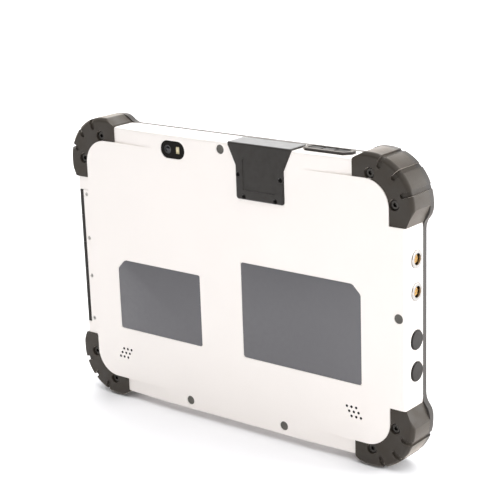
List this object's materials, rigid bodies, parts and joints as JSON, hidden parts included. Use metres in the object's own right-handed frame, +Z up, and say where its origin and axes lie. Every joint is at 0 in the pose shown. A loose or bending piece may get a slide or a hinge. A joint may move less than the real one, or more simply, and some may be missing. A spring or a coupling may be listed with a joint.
{
  "type": "rugged tablet data collector",
  "caption": "Rugged tablet data collector with a white rear housing, rubber corner bumpers, flapped ports, round signal sockets and a scanner cover on the top edge.",
  "frame": {"origin": "middle of the footprint, on the surface that the tablet's two lower bumpers stand on", "axes": "+Z up along the standing tablet, +X to the user's right as they look at the screen (the port-flap edge), -Y out of the screen, +Y out of the back"},
  "size_m": [0.27, 0.0256, 0.194],
  "materials": {
    "acoustic_mesh": "woven",
    "alloy": "as cast",
    "battery_wrap": "shrink film",
    "black_small_screws": "black oxide",
    "black_steel": "black oxide",
    "bumper_rubber": "fine moulded texture",
    "camera_plate": "polished",
    "cap_rubber": "moulded",
    "ceramic": "fired ceramic",
    "circuit_board": "solder mask",
    "cover_glass": "polished, anti-glare",
    "dark_window": "polished",
    "display_panel": "unlit display",
    "flap_rubber": "moulded",
    "frame_rubber": "soft-touch overmould",
    "gasket_rubber": "moulded",
    "gold_pins": "gold plated",
    "key_caps": "silicone",
    "key_rubber": "silicone",
    "label_film": "matt printed film",
    "led_phosphor": "clear over yellow phosphor",
    "lens_glass": "coated",
    "module_plastic": "moulded",
    "nickel_brass": "satin nickel",
    "plug_rubber": "matt",
    "port_steel": "plated",
    "scanner_plastic": "fine spark-eroded texture",
    "steel_screws": "zinc plated",
    "tan_insulator": "moulded PEEK",
    "white_housing": "satin paint over glass-filled polycarbonate"
  },
  "bodies": {
    "housing": {"antenna_socket": "port_steel", "audio_jack": "port_steel", "battery_pack": "battery_wrap", "board_screws": "steel_screws", "board_shields": "alloy", "bumper_lower_left": "bumper_rubber", "bumper_lower_right": "bumper_rubber", "bumper_screws": "black_steel", "bumper_upper_left": "bumper_rubber", "bumper_upper_right": "bumper_rubber", "camera_lens": "lens_glass", "camera_module": "module_plastic", "camera_window": "camera_plate", "card_slot": "port_steel", "casing_screws": "steel_screws", "connector_lower_insert": "tan_insulator", "connector_lower_pins": "gold_pins", "connector_lower_shell": "nickel_brass", "connector_nuts": "nickel_brass", "connector_upper_insert": "tan_insulator", "connector_upper_pins": "gold_pins", "connector_upper_shell": "nickel_brass", "cover_glass": "cover_glass", "display_panel": "display_panel", "flap_retainer_strip": "white_housing", "flash_led": "led_phosphor", "front_camera": "module_plastic", "front_frame": "frame_rubber", "gnss_antenna": "ceramic", "hdmi_socket": "port_steel", "housing_gasket": "gasket_rubber", "key_bezel": "key_rubber", "label_plate_large": "label_film", "label_plate_small": "label_film", "main_board": "circuit_board", "mid_frame": "alloy", "power_socket": "port_steel", "rear_shell": "white_housing", "scan_engine": "module_plastic", "scan_window": "dark_window", "scanner_cover": "scanner_plastic", "scanner_cover_screws": "black_small_screws", "screw_plugs": "plug_rubber", "speaker_left": "module_plastic", "speaker_mesh_left": "acoustic_mesh", "speaker_mesh_right": "acoustic_mesh", "speaker_right": "module_plastic", "strip_screws": "steel_screws", "usb_a_socket": "port_steel", "usb_c_socket": "port_steel"},
    "flap_1": {"port_flap_1": "flap_rubber"},
    "flap_2": {"port_flap_2": "flap_rubber"},
    "flap_3": {"port_flap_3": "flap_rubber"},
    "flap_4": {"port_flap_4": "flap_rubber"},
    "flap_5": {"port_flap_5": "flap_rubber"},
    "cap_upper": {"port_cap_upper": "cap_rubber"},
    "cap_lower": {"port_cap_lower": "cap_rubber"},
    "power_button": {"power_key": "key_caps"},
    "volume_up_button": {"volume_up_key": "key_caps"},
    "volume_down_button": {"volume_down_key": "key_caps"}
  },
  "joints": [
    {"name": "flap_1_hinge", "type": "hinge", "parent": "housing", "child": "flap_1", "pos_m": [0.1273, 0.0087, 0.097], "axis": [0, 0, 1], "range_deg": [0, 100], "stiffness_Nm_per_rad": 0.002},
    {"name": "flap_2_hinge", "type": "hinge", "parent": "housing", "child": "flap_2", "pos_m": [0.1273, 0.0087, 0.097], "axis": [0, 0, 1], "range_deg": [0, 100], "stiffness_Nm_per_rad": 0.002},
    {"name": "flap_3_hinge", "type": "hinge", "parent": "housing", "child": "flap_3", "pos_m": [0.1273, 0.0087, 0.097], "axis": [0, 0, 1], "range_deg": [0, 100], "stiffness_Nm_per_rad": 0.002},
    {"name": "flap_4_hinge", "type": "hinge", "parent": "housing", "child": "flap_4", "pos_m": [0.1273, 0.0087, 0.097], "axis": [0, 0, 1], "range_deg": [0, 100], "stiffness_Nm_per_rad": 0.002},
    {"name": "flap_5_hinge", "type": "hinge", "parent": "housing", "child": "flap_5", "pos_m": [0.1273, 0.0087, 0.097], "axis": [0, 0, 1], "range_deg": [0, 100], "stiffness_Nm_per_rad": 0.002},
    {"name": "cap_upper_pull", "type": "slide", "parent": "housing", "child": "cap_upper", "axis": [-1, 0, 0], "range_m": [0, 0.012]},
    {"name": "cap_lower_pull", "type": "slide", "parent": "housing", "child": "cap_lower", "axis": [-1, 0, 0], "range_m": [0, 0.012]},
    {"name": "power_press", "type": "slide", "parent": "housing", "child": "power_button", "axis": [0, 0, -1], "range_m": [0, 0.0008], "stiffness_N_per_m": 600, "springref_m": -0.001},
    {"name": "volume_up_press", "type": "slide", "parent": "housing", "child": "volume_up_button", "axis": [0, 0, -1], "range_m": [0, 0.0008], "stiffness_N_per_m": 600, "springref_m": -0.001},
    {"name": "volume_down_press", "type": "slide", "parent": "housing", "child": "volume_down_button", "axis": [0, 0, -1], "range_m": [0, 0.0008], "stiffness_N_per_m": 600, "springref_m": -0.001}
  ]
}
